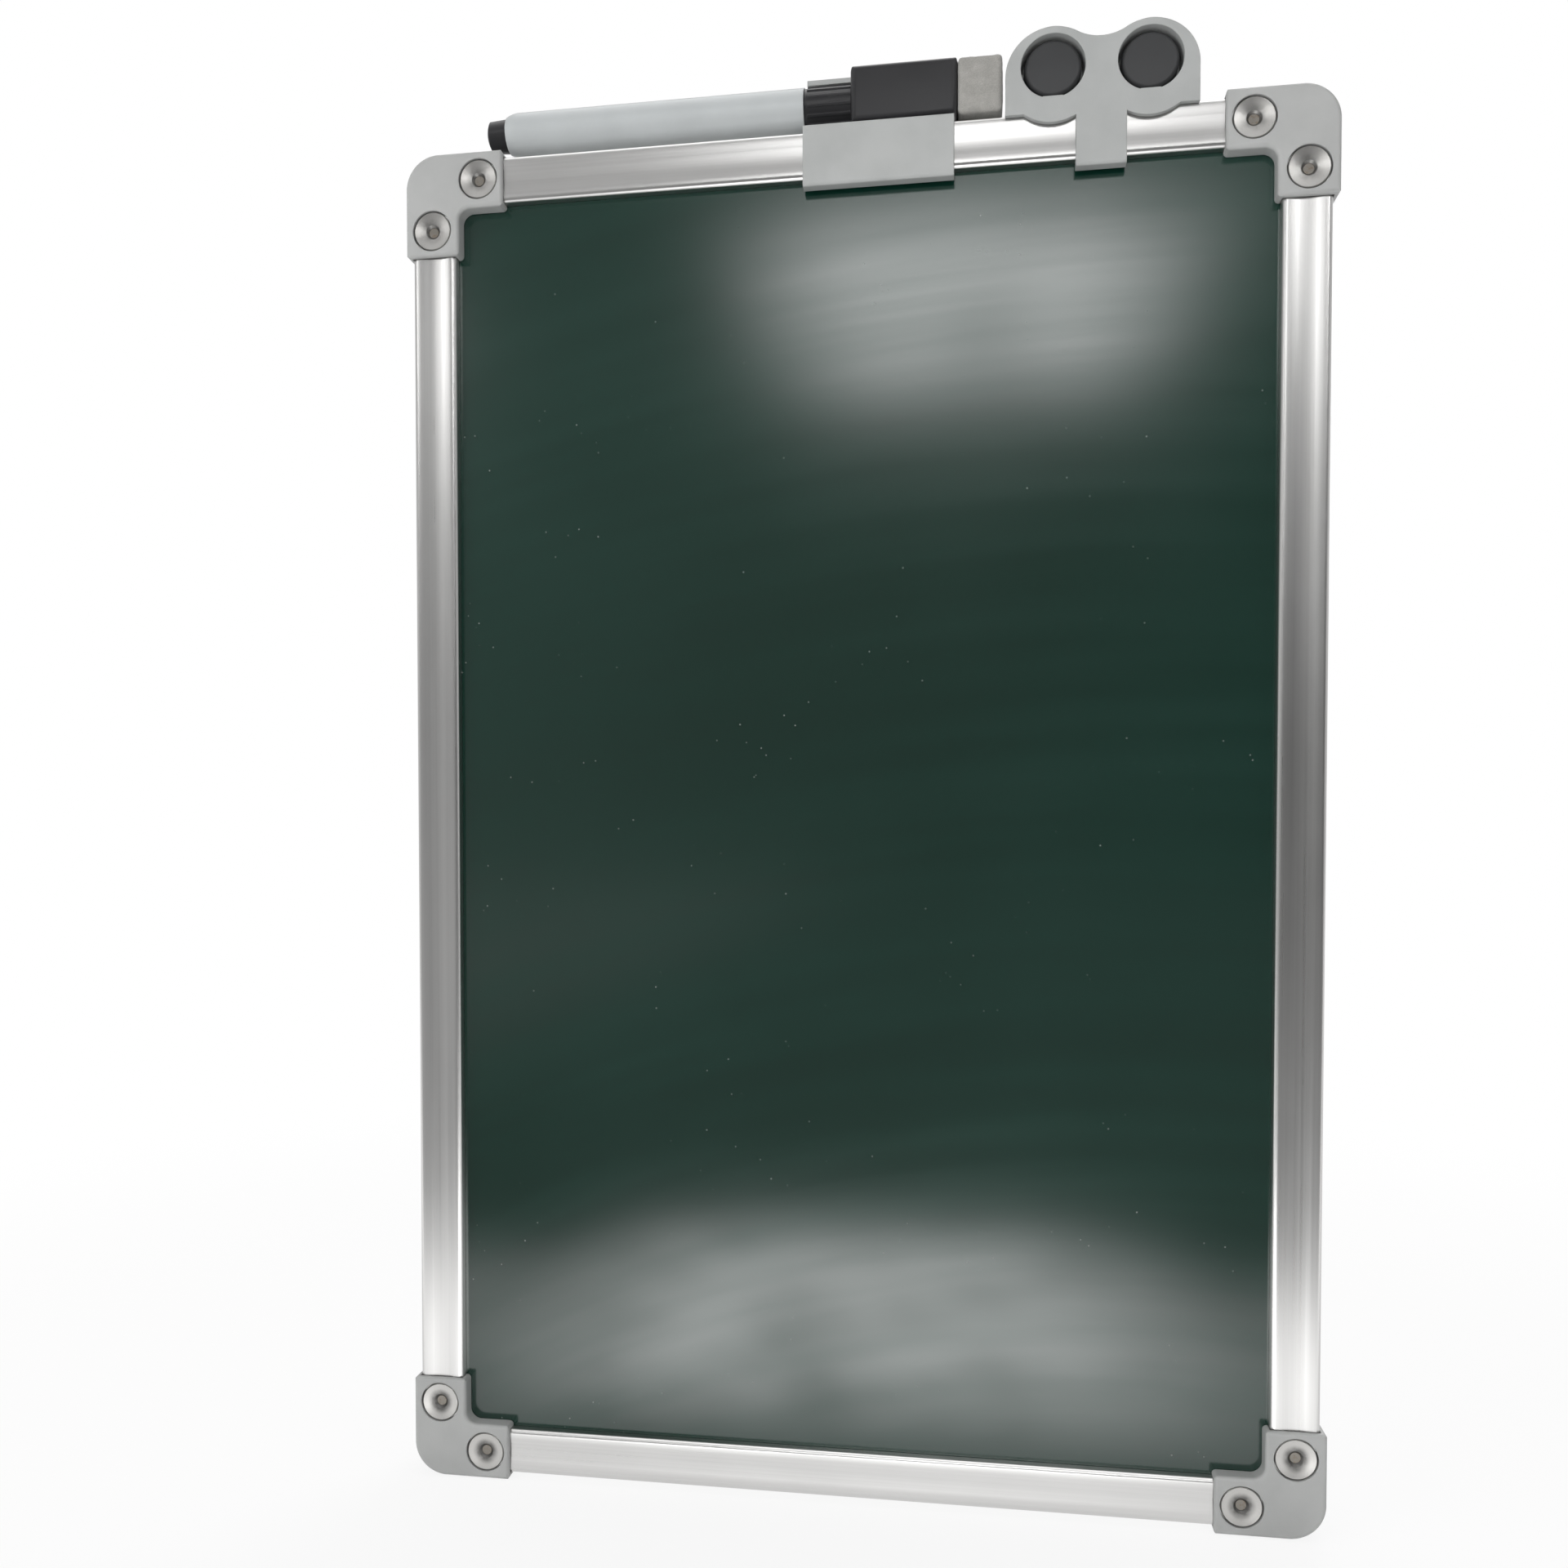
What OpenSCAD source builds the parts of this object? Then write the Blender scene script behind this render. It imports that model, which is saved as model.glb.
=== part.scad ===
// Portrait memo board with a clip-on marker and a magnet holder on its top rail.
// X runs to the right, the writing face looks along -Y and Z points up.
// The origin is under the middle of the board, level with its lowest edge.

/* [Board] */
// Width over the corner pieces
board_w = 200; // [160:1:400]
// Height over the corner pieces
board_h = 300; // [120:1:600]
// Thickness of the core between the two face sheets
core_t = 6; // [3:0.5:7]
// Thickness of each steel face sheet
sheet_t = 0.5; // [0.3:0.1:0.8]

/* [Rails] */
// Width of a rail's face
rail_w = 10; // [9:0.5:14]
// Depth of a rail from front to back
rail_d = 12; // [11:0.5:18]
// Wall of the hollow rail
rail_wall = 1.1; // [0.9:0.1:1.4]
// Web between the hollow and the panel slot
rail_web = 0.8; // [0.6:0.1:1.2]
// Depth of the slot that holds the panel's edge
slot_depth = 2; // [1.2:0.1:2.2]
// Radius of the rail's long edges
rail_edge_r = 1; // [0.4:0.1:1.2]
// Width of the shallow hollow along each face
hollow_w = 6.4; // [3:0.1:6.8]
// Depth of the shallow hollow
hollow_depth = 0.2; // [0.1:0.05:0.4]

/* [Corner pieces] */
// How far a corner piece stands proud of the rails
corner_proud = 1.2; // [0.9:0.1:2]
// Length of each leg from the outer edge
corner_leg = 22.6; // [22:0.2:34]
// Outline radius of the outer corner
corner_r = 7.5; // [3:0.5:9]
// Radius in the inner corner
corner_inner_r = 2.5; // [1:0.1:4]
// Radius of the moulded edges
corner_edge_r = 0.9; // [0.3:0.1:1.2]
// Diameter of the hanging holes in the back of the upper corners
hang_d = 5; // [3:0.1:5.5]
// Depth of the hanging holes
hang_depth = 6; // [3:0.5:8]

/* [Rivets] */
// Distance from the end of a leg to its rivet
rivet_setback = 5.6; // [5.4:0.1:5.8]
// Diameter of a rivet's flange
rivet_head_d = 8.6; // [6:0.1:8.8]
// Height of the flange's rim
rivet_head_h = 1; // [0.8:0.05:1.1]
// Bevel round the flange's rim
rivet_bevel = 0.25; // [0.1:0.05:0.4]
// How far the flange's face dishes in towards the rivet's mouth
rivet_dish = 0.5; // [0.1:0.05:0.6]
// Diameter of the rivet's mouth
rivet_mouth_d = 3.2; // [2.6:0.1:4]
// Diameter of the rivet's hollow body
rivet_d = 3.4; // [2.8:0.1:3.6]
// Length of the hollow body behind the flange
rivet_l = 6; // [4:0.5:8]
// Diameter of the pin inside the rivet
mandrel_d = 2.2; // [1.2:0.1:2.4]
// Gap between a flange and the edge of its recess
recess_gap = 0.2; // [0.1:0.05:0.3]

/* [Rail clips] */
// Thickness of the plates that lie on the rail
clip_t = 1.1; // [0.8:0.1:2]
// Thickness of the floor on top of the rail
clip_floor_t = 0.8; // [0.7:0.1:3]
// Thickness of the hooks under the rail's inner edge
hook_t = 2; // [0.8:0.1:2.4]
// Reach of the hooks under the rail
hook_reach = 1.4; // [0.6:0.1:1.8]
// Radius of the clips' outer bends
bend_r = 0.6; // [0.2:0.05:0.7]
// Length of the marker clip along the rail
marker_clip_l = 32.2; // [20:0.2:40]
// Distance from the clip's end to the end of the cap block
clip_setback = 0.7; // [0:0.1:3]
// Reach of the lip over the cap block
clip_lip = 6; // [2:0.5:10]

/* [Marker] */
// Diameter of the barrel
barrel_d = 9.2; // [8.6:0.1:12]
// Length of the barrel
barrel_l = 67.6; // [50:0.1:100]
// Wall of the barrel
barrel_wall = 1; // [0.6:0.1:1.4]
// Length of the rounded shoulder at the plug
shoulder_l = 2.9; // [1:0.1:4]
// How far the shoulder draws in
shoulder_drop = 0.7; // [0.3:0.05:0.8]
// Length of the end plug outside the barrel
plug_l = 5; // [2:0.1:8]
// Length of the plug's spigot inside the barrel
plug_spigot_l = 6; // [3:0.5:10]
// Taper of the plug's radius towards its end
plug_taper = 0.35; // [0.1:0.05:0.8]
// Height of the plug's domed end
plug_dome_h = 0.9; // [0.3:0.1:1.5]
// Diameter of the nib
nib_d = 2.4; // [1.5:0.1:3]
// Length of the nib outside its holder
nib_l = 3; // [2:0.1:4]
// Length of the nib holder's cone
nose_l = 7; // [4:0.5:9]
// Length of the nib holder's straight neck
nose_neck_l = 2; // [1:0.5:4]
// Length of the nib holder's spigot inside the barrel
nose_spigot_l = 6; // [3:0.5:10]
// Wall of the nib holder at its tip
nose_tip_wall = 0.7; // [0.4:0.1:1]

/* [Eraser cap] */
// Length of the cap's ribbed skirt
skirt_l = 10.2; // [8:0.1:16]
// Number of ribs round the skirt
rib_n = 14; // [8:1:20]
// Height of each rib
rib_h = 0.25; // [0.1:0.05:0.4]
// Width of each rib
rib_w = 0.6; // [0.3:0.05:1]
// Length of the square block
block_l = 22.8; // [14:0.2:30]
// Width and height of the square block
block_w = 12.2; // [11.5:0.1:12.6]
// Radius of the block's edges
block_edge_r = 1.4; // [0.5:0.1:2]
// Thickness of the felt pad
felt_l = 9.5; // [3:0.1:14]
// Width and height of the felt pad
felt_w = 12.2; // [10:0.1:12.6]
// Radius of the felt pad's edges
felt_edge_r = 0.8; // [0.3:0.1:2]

/* [Magnet holder] */
// Distance from the holder to the leg of the corner beside it
holder_gap = 5.2; // [4.7:0.1:12]
// Drop of the front plate in front of the rail
holder_drop = 0.8; // [0.2:0.1:2]
// Distance between the two cups
cup_pitch = 19.8; // [18.4:0.1:24]
// Height of the cups' centres above the rail
cup_rise = 8.8; // [8.6:0.1:14]
// Bore of each cup
cup_d = 13.3; // [12.6:0.1:14]
// Wall of each cup behind the front plate
cup_wall = 1.4; // [0.8:0.1:2]
// Depth of each cup
cup_depth = 7; // [5:0.1:9]
// Outline radius of each lobe
lobe_r = 9.8; // [9.4:0.1:10.4]
// How far a lobe's centre lies below the cup's
lobe_drop = 1.8; // [1:0.1:2.2]
// Height of the saddle between the lobes above the cups' centres
saddle_rise = 5.3; // [4:0.1:6.2]
// Width of the flat nub at the bottom of each bore
nub_w = 4.2; // [2:0.1:5]
// Width of the strap over the rail
strap_w = 10.3; // [6:0.1:16]

/* [Magnets] */
// Diameter of a magnet button
magnet_d = 11.8; // [10:0.1:12]
// Thickness of a magnet button
magnet_t = 6; // [4:0.1:6.8]
// Radius of the button's front edge
magnet_edge_r = 0.8; // [0.3:0.1:1.5]
// Wall of the button's shell
magnet_wall = 0.9; // [0.6:0.1:1.5]
// Thickness of the ferrite disc
disc_t = 3; // [2:0.1:3.4]

/* [Clearances] */
// Gap between pieces that are fitted together
fit = 0.1; // [0.05:0.01:0.15]
// Gap round a pin in its hole
pin_gap = 0.05; // [0.02:0.01:0.1]
// Gap between pieces that pull out of each other
slip = 0.3; // [0.2:0.05:0.4]
// Gap between the cap block and its clip
block_gap = 0.2; // [0.1:0.05:0.4]
// Gap between the felt pad and the magnet holder
felt_gap = 0.4; // [0.3:0.1:2]

/* [Hidden] */
$fn = 64;
// Overshoot of cutting shapes past the faces they open
over = 1;
// How far a line or an arc that blends into an arc runs into it
bite = 0.02;

// Panel: it fills the slots of the four rails less the fit
panel_t = core_t + 2 * sheet_t;
panel_inset = corner_proud + rail_w - slot_depth + fit;
panel_w = board_w - 2 * panel_inset;
panel_h = board_h - 2 * panel_inset;
slot_t = panel_t + 2 * fit;

// Rails: a hollow chamber beside the panel slot
chamber_w = rail_w - slot_depth - rail_web - rail_wall;
chamber_d = rail_d - 2 * rail_wall;
hollow_r = (pow(hollow_w / 2, 2) + pow(hollow_depth, 2)) / (2 * hollow_depth);
rail_top = board_h - corner_proud;
rail_front = rail_d / 2;

// Corner pieces: a solid elbow, then a sleeve over each rail end
corner_w = rail_w + 2 * corner_proud;
corner_d = rail_d + 2 * corner_proud;
elbow = corner_w;
rail_end = elbow + fit;
sleeve_l = corner_leg - elbow;

// Rivets: in each sleeve, on the leg's centre line
rivet_at = corner_leg - rivet_setback;
rivet_line = corner_w / 2;
recess_d = rivet_head_d + 2 * recess_gap;
mandrel_bulb_d = rivet_d - 2 * fit;
mandrel_bulb_z = -rivet_l - fit - mandrel_bulb_d / 2;
rivet_hole_l = rivet_l + mandrel_bulb_d + fit;

// Clips on the top rail
clip_in = rail_front + fit;
clip_out = clip_in + clip_t;
clip_floor_z = rail_top + fit;
clip_floor_top = clip_floor_z + clip_floor_t;
hook_top = rail_top - rail_w - fit;
hook_low = hook_top - hook_t;

// Magnet holder: straight sides run down from its lobes
half_pitch = cup_pitch / 2;
holder_half = half_pitch + lobe_r - bite;

// Stations along the top rail, from the right corner to the left
holder_right = board_w / 2 - corner_leg - holder_gap;
holder_x = holder_right - holder_half;
felt_x = holder_x - holder_half - felt_gap - felt_l;
block_x = felt_x - block_l;
cap_x = block_x - skirt_l;
barrel_end = cap_x - fit;
clip_x = felt_x - clip_setback - marker_clip_l / 2;

// Marker axis: the block lies on the clip's floor against its back wall
axis_y = clip_in - block_gap - block_w / 2;
axis_z = clip_floor_top + block_gap + block_w / 2;
lip_z = axis_z + block_w / 2 + block_gap;

// Marker insides
barrel_r = barrel_d / 2;
barrel_bore_r = barrel_r - barrel_wall;
shoulder_r = (pow(shoulder_l, 2) + pow(shoulder_drop, 2)) / (2 * shoulder_drop);
spigot_r = barrel_bore_r - pin_gap;
plug_end = -barrel_l - plug_l;
plug_end_r = spigot_r - plug_taper;
plug_dome_r = (pow(plug_end_r, 2) + pow(plug_dome_h, 2)) / (2 * plug_dome_h);
nose_r = spigot_r - slip;
nose_tip_r = nib_d / 2 + nose_tip_wall;
nib_tip = nose_neck_l + nose_l + nib_l;

// Eraser cap insides
skirt_r = barrel_r - rib_h;
cap_bore_r = nose_r + slip;
cap_bore_l = nib_tip + 2 * slip;
seal_l = nib_l + 2 * slip;
seal_bore_r = nose_tip_r + slip;

// Cups
cup_r = cup_d / 2;
cup_z = rail_top + cup_rise;
cup_floor_y = cup_depth - clip_out;
nub_top = magnet_d / 2 + slip;
cup_rib_top = cup_z - cup_r - cup_wall / 2;

// Saddle, measured from the lobes' centres: an arc that touches slightly smaller lobes
plate_low = rail_top - holder_drop - cup_z + lobe_drop;
saddle_low = saddle_rise + lobe_drop;
saddle_lobe_r = lobe_r - bite;
saddle_fall = saddle_lobe_r - saddle_low;
saddle_r = (pow(half_pitch, 2) + pow(saddle_low, 2) - pow(saddle_lobe_r, 2)) / (2 * saddle_fall);
saddle_z = saddle_low + saddle_r;
saddle_touch_z = saddle_lobe_r * saddle_z / (saddle_lobe_r + saddle_r);

// Magnets
magnet_back_y = cup_floor_y - fit;
disc_r = magnet_d / 2 - magnet_wall - pin_gap;

// Rectangle with round corners, centred
module round_rect(w, h, r) {
    square([w - 2 * r, h], center = true);
    square([w, h - 2 * r], center = true);
    for (sx = [-1, 1], sy = [-1, 1])
        translate([sx * (w / 2 - r), sy * (h / 2 - r)])
            circle(r);
}

// Box with every edge rounded, centred
module round_box(size, r) {
    intersection() {
        linear_extrude(size.z, center = true)
            round_rect(size.x, size.y, r);
        rotate([90, 0, 0])
            linear_extrude(size.y, center = true)
                round_rect(size.x, size.z, r);
        rotate([90, 0, 90])
            linear_extrude(size.x, center = true)
                round_rect(size.y, size.z, r);
    }
}

// Turned shape along +X from a profile of radius against length
module turned() {
    rotate([0, 90, 0])
        rotate_extrude()
            children();
}

// One layer of the panel, from y0 towards the back
module panel_layer(y0, t) {
    translate([-panel_w / 2, y0, panel_inset])
        cube([panel_w, t, panel_h]);
}

module green_face_sheet() {
    color("darkslategray")
        panel_layer(-panel_t / 2, sheet_t);
}

module core_panel() {
    color("tan")
        panel_layer(-core_t / 2, core_t);
}

module white_back_sheet() {
    color("white")
        panel_layer(core_t / 2, sheet_t);
}

// Rail section: first axis inwards from the outer edge, second axis along Y
module rail_section() {
    difference() {
        translate([rail_w / 2, 0])
            round_rect(rail_w, rail_d, rail_edge_r);
        translate([rail_wall, -chamber_d / 2])
            square([chamber_w, chamber_d]);
        translate([rail_w - slot_depth, -slot_t / 2])
            square([slot_depth + over, slot_t]);
        for (side = [-1, 1])
            translate([rail_w / 2, side * (rail_front + hollow_r - hollow_depth)])
                circle(hollow_r, $fn = 256);
    }
}

// Space that a rail end takes up in a corner piece, with the tenon left standing
module sleeve_section() {
    difference() {
        translate([-fit, -rail_front - fit])
            square([rail_w + 2 * fit, rail_d + 2 * fit]);
        translate([rail_wall + fit, fit - chamber_d / 2])
            square([chamber_w - 2 * fit, chamber_d - 2 * fit]);
    }
}

// Rail of a given length along Z, with a rivet hole near each end
module rail(length) {
    color("silver")
        difference() {
            linear_extrude(length, center = true)
                rail_section();
            for (side = [-1, 1])
                translate([rail_w / 2, 0, side * (length / 2 - rivet_at + rail_end)])
                    rivet_hole(rail_wall + over);
        }
}

// Hole for a rivet's body, from the rail's front face inwards
module rivet_hole(depth) {
    translate([0, depth - rail_front, 0])
        rotate([90, 0, 0])
            cylinder(r = rivet_d / 2 + pin_gap, h = depth + over);
}

module top_rail() {
    translate([0, 0, rail_top])
        rotate([0, 90, 0])
            rail(board_w - 2 * rail_end);
}

module bottom_rail() {
    translate([0, 0, corner_proud])
        rotate([0, -90, 0])
            rail(board_w - 2 * rail_end);
}

module left_rail() {
    translate([corner_proud - board_w / 2, 0, board_h / 2])
        rail(board_h - 2 * rail_end);
}

module right_rail() {
    mirror([1, 0, 0])
        left_rail();
}

// Puts a shape drawn for the lower left corner at any corner of the board
module at_corner(right, top) {
    translate([right * board_w - board_w / 2, 0, top * board_h])
        mirror([right, 0, 0])
            mirror([0, 0, top])
                children();
}

// Swaps X and Z, so that one leg's features serve the other leg
module both_legs() {
    children();
    mirror([1, 0, -1])
        children();
}

// Disc with a rounded rim, its axis along Y
module rounded_disc(r, t, edge) {
    rotate([90, 0, 0])
        rotate_extrude()
            intersection() {
                round_rect(2 * r, t, edge);
                translate([0, -t / 2])
                    square([r, t]);
            }
}

// Fill of the inner corner, with the moulded edge carried round it
module inner_fillet() {
    size = corner_inner_r + corner_edge_r;
    difference() {
        translate([corner_w - corner_edge_r, -corner_d / 2, corner_w - corner_edge_r])
            cube([size, corner_d, size]);
        translate([corner_w + corner_inner_r, 0, corner_w + corner_inner_r])
            rotate([90, 0, 0])
                rotate_extrude()
                    difference() {
                        translate([0, -corner_d / 2 - over])
                            square([size, corner_d + 2 * over]);
                        translate([corner_inner_r + size, 0])
                            round_rect(2 * size, corner_d, corner_edge_r);
                    }
    }
}

// Outside of a corner piece, drawn for the lower left corner
module corner_outside() {
    start = corner_r - corner_edge_r;
    intersection() {
        translate([corner_r, 0, corner_r])
            rounded_disc(corner_r, corner_d, corner_edge_r);
        translate([0, -corner_d / 2, 0])
            cube([corner_r, corner_d, corner_r]);
    }
    both_legs()
        translate([(start + corner_leg) / 2, 0, corner_w / 2])
            round_box([corner_leg - start, corner_d, corner_w], corner_edge_r);
    inner_fillet();
}

// Corner piece with sleeves, tenons, panel slot and rivet recesses
module corner_piece(hung) {
    color("darkgray")
        difference() {
            corner_outside();
            both_legs()
                translate([corner_proud, 0, elbow])
                    linear_extrude(sleeve_l + over)
                        sleeve_section();
            translate([panel_inset - fit, -slot_t / 2, panel_inset - fit])
                cube([corner_leg, slot_t, corner_leg]);
            both_legs()
                translate([rivet_line, 0, rivet_at]) {
                    translate([0, -rail_front, 0])
                        rotate([90, 0, 0])
                            cylinder(d = recess_d, h = corner_proud + over);
                    rivet_hole(rivet_hole_l);
                }
            if (hung)
                translate([rivet_line, corner_d / 2 + over, rivet_line])
                    rotate([90, 0, 0])
                        cylinder(d = hang_d, h = hang_depth + over);
        }
}

module corner_top_left() {
    at_corner(0, 1)
        corner_piece(true);
}

module corner_top_right() {
    at_corner(1, 1)
        corner_piece(true);
}

module corner_bottom_left() {
    at_corner(0, 0)
        corner_piece(false);
}

module corner_bottom_right() {
    at_corner(1, 0)
        corner_piece(false);
}

// Places a turned fastener, head to the front, at all eight rivet holes
module at_rivets() {
    for (right = [0, 1], top = [0, 1])
        at_corner(right, top)
            both_legs()
                translate([rivet_line, -rail_front, rivet_at])
                    rotate([90, 0, 0])
                        rotate_extrude()
                            children();
}

// Half section: body, flat seat, bevelled rim, dished face and the mouth's funnel into the bore
module corner_rivets() {
    bore_r = mandrel_d / 2 + pin_gap;
    head_r = rivet_head_d / 2;
    color("gainsboro")
        at_rivets()
            polygon([
                [bore_r, -rivet_l],
                [rivet_d / 2, -rivet_l],
                [rivet_d / 2, 0],
                [head_r, 0],
                [head_r, rivet_head_h - rivet_bevel],
                [head_r - rivet_bevel, rivet_head_h],
                [rivet_mouth_d / 2, rivet_head_h - rivet_dish],
                [bore_r, 0]
            ]);
}

module rivet_mandrels() {
    color("dimgray")
        at_rivets() {
            translate([0, mandrel_bulb_z])
                square([mandrel_d / 2, -mandrel_bulb_z]);
            translate([0, mandrel_bulb_z])
                intersection() {
                    circle(d = mandrel_bulb_d);
                    translate([0, -mandrel_bulb_d])
                        square([mandrel_bulb_d, 2 * mandrel_bulb_d]);
                }
        }
}

// Space between two heights, with the clips' depth and round corners
module clip_outline(low, high) {
    translate([0, (low + high) / 2])
        round_rect(2 * clip_out, high - low, bend_r);
}

// Section of the grip on the rail, in Y and Z
module grip_section() {
    difference() {
        clip_outline(hook_low, clip_floor_top);
        translate([-clip_in, hook_top])
            square([2 * clip_in, clip_floor_z - hook_top]);
        translate([hook_reach - rail_front, hook_low - over])
            square([2 * (rail_front - hook_reach), hook_top - hook_low + 2 * over]);
    }
}

// Section of the marker clip: the grip, a back wall and a lip over the block
module marker_clip_section() {
    grip_section();
    difference() {
        clip_outline(hook_low, lip_z + clip_t);
        translate([-clip_out - over, hook_low - over])
            square([clip_in + clip_out + over, lip_z - hook_low + over]);
        translate([-clip_out - over, lip_z - over])
            square([2 * clip_out - clip_lip + over, clip_t + 2 * over]);
    }
}

// Extrudes a Y and Z section along X, centred on x
module along_rail(x, length) {
    translate([x, 0, 0])
        rotate([90, 0, 90])
            linear_extrude(length, center = true)
                children();
}

module marker_clip() {
    color("lightgray")
        along_rail(clip_x, marker_clip_l)
            marker_clip_section();
}

// Places a turned marker piece with zero length at the barrel's open end
module at_marker() {
    translate([barrel_end, axis_y, axis_z])
        turned()
            children();
}

module marker_barrel() {
    color("lightgray")
        at_marker()
            difference() {
                translate([barrel_bore_r, -barrel_l])
                    square([barrel_wall, barrel_l]);
                difference() {
                    translate([0, -barrel_l - over])
                        square([barrel_d, shoulder_l + over]);
                    translate([barrel_r - shoulder_r, shoulder_l - barrel_l])
                        circle(shoulder_r, $fn = 128);
                }
            }
}

module marker_end_plug() {
    color("black")
        at_marker()
            difference() {
                polygon([
                    [0, plug_spigot_l - barrel_l],
                    [spigot_r, plug_spigot_l - barrel_l],
                    [spigot_r, -barrel_l],
                    [plug_end_r, plug_end],
                    [0, plug_end]
                ]);
                difference() {
                    translate([0, plug_end - over])
                        square([barrel_r, 2 * plug_dome_h + over]);
                    translate([0, plug_end + plug_dome_r])
                        circle(plug_dome_r);
                }
            }
}

module marker_reservoir() {
    color("white")
        at_marker()
            translate([0, plug_spigot_l - barrel_l])
                square([barrel_bore_r - slip, barrel_l - plug_spigot_l - nose_spigot_l]);
}

module marker_nose() {
    color("dimgray")
        at_marker()
            difference() {
                union() {
                    translate([0, -nose_spigot_l])
                        square([spigot_r, nose_spigot_l]);
                    polygon([
                        [0, 0],
                        [nose_r, 0],
                        [nose_r, nose_neck_l],
                        [nose_tip_r, nose_neck_l + nose_l],
                        [0, nose_neck_l + nose_l]
                    ]);
                }
                translate([0, -nose_spigot_l - over])
                    square([nib_d / 2 + pin_gap, nose_spigot_l + nib_tip + over]);
            }
}

module marker_nib() {
    color("black")
        at_marker() {
            translate([0, -nose_spigot_l])
                square([nib_d / 2, nose_spigot_l + nib_tip - nib_d / 2]);
            translate([0, nib_tip - nib_d / 2])
                intersection() {
                    circle(d = nib_d);
                    square(nib_d);
                }
        }
}

module marker_cap() {
    color("black")
        difference() {
            union() {
                translate([block_x + block_l / 2, axis_y, axis_z])
                    round_box([block_l, block_w, block_w], block_edge_r);
                translate([cap_x, axis_y, axis_z])
                    rotate([0, 90, 0]) {
                        cylinder(r = skirt_r, h = skirt_l + block_edge_r);
                        for (i = [0 : rib_n - 1])
                            rotate(i * 360 / rib_n)
                                translate([0, -rib_w / 2, rib_w])
                                    cube([skirt_r + rib_h, rib_w, skirt_l]);
                    }
            }
            translate([cap_x - over, axis_y, axis_z])
                rotate([0, 90, 0])
                    cylinder(r = cap_bore_r, h = cap_bore_l + over);
        }
}

module cap_seal() {
    color("white")
        translate([cap_x, axis_y, axis_z])
            turned()
                translate([seal_bore_r, cap_bore_l - seal_l])
                    square([cap_bore_r - pin_gap - seal_bore_r, seal_l]);
}

module eraser_felt() {
    color("rosybrown")
        translate([felt_x + felt_l / 2, axis_y, axis_z])
            round_box([felt_l, felt_w, felt_w], felt_edge_r);
}

// Front outline of the magnet holder, about the middle between the lobes' centres
module holder_outline() {
    for (side = [-1, 1])
        translate([side * half_pitch, 0])
            circle(lobe_r);
    difference() {
        translate([-half_pitch, plate_low])
            square([cup_pitch, saddle_touch_z - plate_low]);
        translate([0, saddle_z])
            circle(saddle_r);
    }
    translate([-holder_half, plate_low])
        square([2 * holder_half, -plate_low]);
}

// Outline of a cup's bore, with the flat nub under the magnet
module cup_outline() {
    difference() {
        circle(cup_r);
        translate([-nub_w / 2, -cup_d])
            square([nub_w, cup_d - nub_top]);
    }
}

// Extrudes an X and Z outline backwards from the clips' front plane
module from_front(depth) {
    translate([holder_x, depth - clip_out, cup_z])
        rotate([90, 0, 0])
            linear_extrude(depth)
                children();
}

module magnet_holder() {
    color("lightgray")
        difference() {
            union() {
                from_front(clip_t)
                    translate([0, -lobe_drop])
                        holder_outline();
                from_front(cup_depth + cup_wall)
                    for (side = [-1, 1])
                        translate([side * half_pitch, 0])
                            circle(cup_r + cup_wall);
                for (side = [-1, 1])
                    translate([holder_x + side * half_pitch - nub_w / 2, -clip_out, clip_floor_z])
                        cube([nub_w, cup_depth + cup_wall, cup_rib_top - clip_floor_z]);
                translate([holder_x - holder_half, -clip_out, clip_floor_z])
                    cube([2 * holder_half, 2 * clip_out, clip_floor_t]);
                along_rail(holder_x, strap_w)
                    grip_section();
            }
            translate([0, -over, 0])
                from_front(cup_depth + over)
                    for (side = [-1, 1])
                        translate([side * half_pitch, 0])
                            cup_outline();
        }
}

// Places a turned magnet piece, zero length at its back and its face to the front
module at_magnet(side) {
    translate([holder_x + side * half_pitch, magnet_back_y, cup_z])
        rotate([90, 0, 0])
            rotate_extrude()
                children();
}

module magnet_shell(side) {
    color("dimgray")
        at_magnet(side)
            difference() {
                intersection() {
                    square([magnet_d / 2, magnet_t]);
                    translate([0, magnet_t / 2 - magnet_edge_r])
                        round_rect(magnet_d, magnet_t + 2 * magnet_edge_r, magnet_edge_r);
                }
                translate([0, -over])
                    square([disc_r + pin_gap, disc_t + pin_gap + over]);
            }
}

module magnet_disc(side) {
    color("black")
        at_magnet(side)
            square([disc_r, disc_t]);
}

module magnet_left_shell() {
    magnet_shell(-1);
}

module magnet_left_disc() {
    magnet_disc(-1);
}

module magnet_right_shell() {
    magnet_shell(1);
}

module magnet_right_disc() {
    magnet_disc(1);
}

green_face_sheet();
core_panel();
white_back_sheet();
top_rail();
bottom_rail();
left_rail();
right_rail();
corner_top_left();
corner_top_right();
corner_bottom_left();
corner_bottom_right();
corner_rivets();
rivet_mandrels();
marker_clip();
marker_barrel();
marker_end_plug();
marker_reservoir();
marker_nose();
marker_nib();
marker_cap();
cap_seal();
eraser_felt();
magnet_holder();
magnet_left_shell();
magnet_left_disc();
magnet_right_shell();
magnet_right_disc();
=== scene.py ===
"""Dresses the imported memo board: finishes for every piece, a felt eraser pad and a plain studio."""

from __future__ import annotations

import logging
import math
from dataclasses import dataclass, field
from enum import Enum
from functools import reduce
from typing import Any, Mapping, Sequence, Union

import bmesh
import bpy
from mathutils import Matrix, Vector, noise


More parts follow.
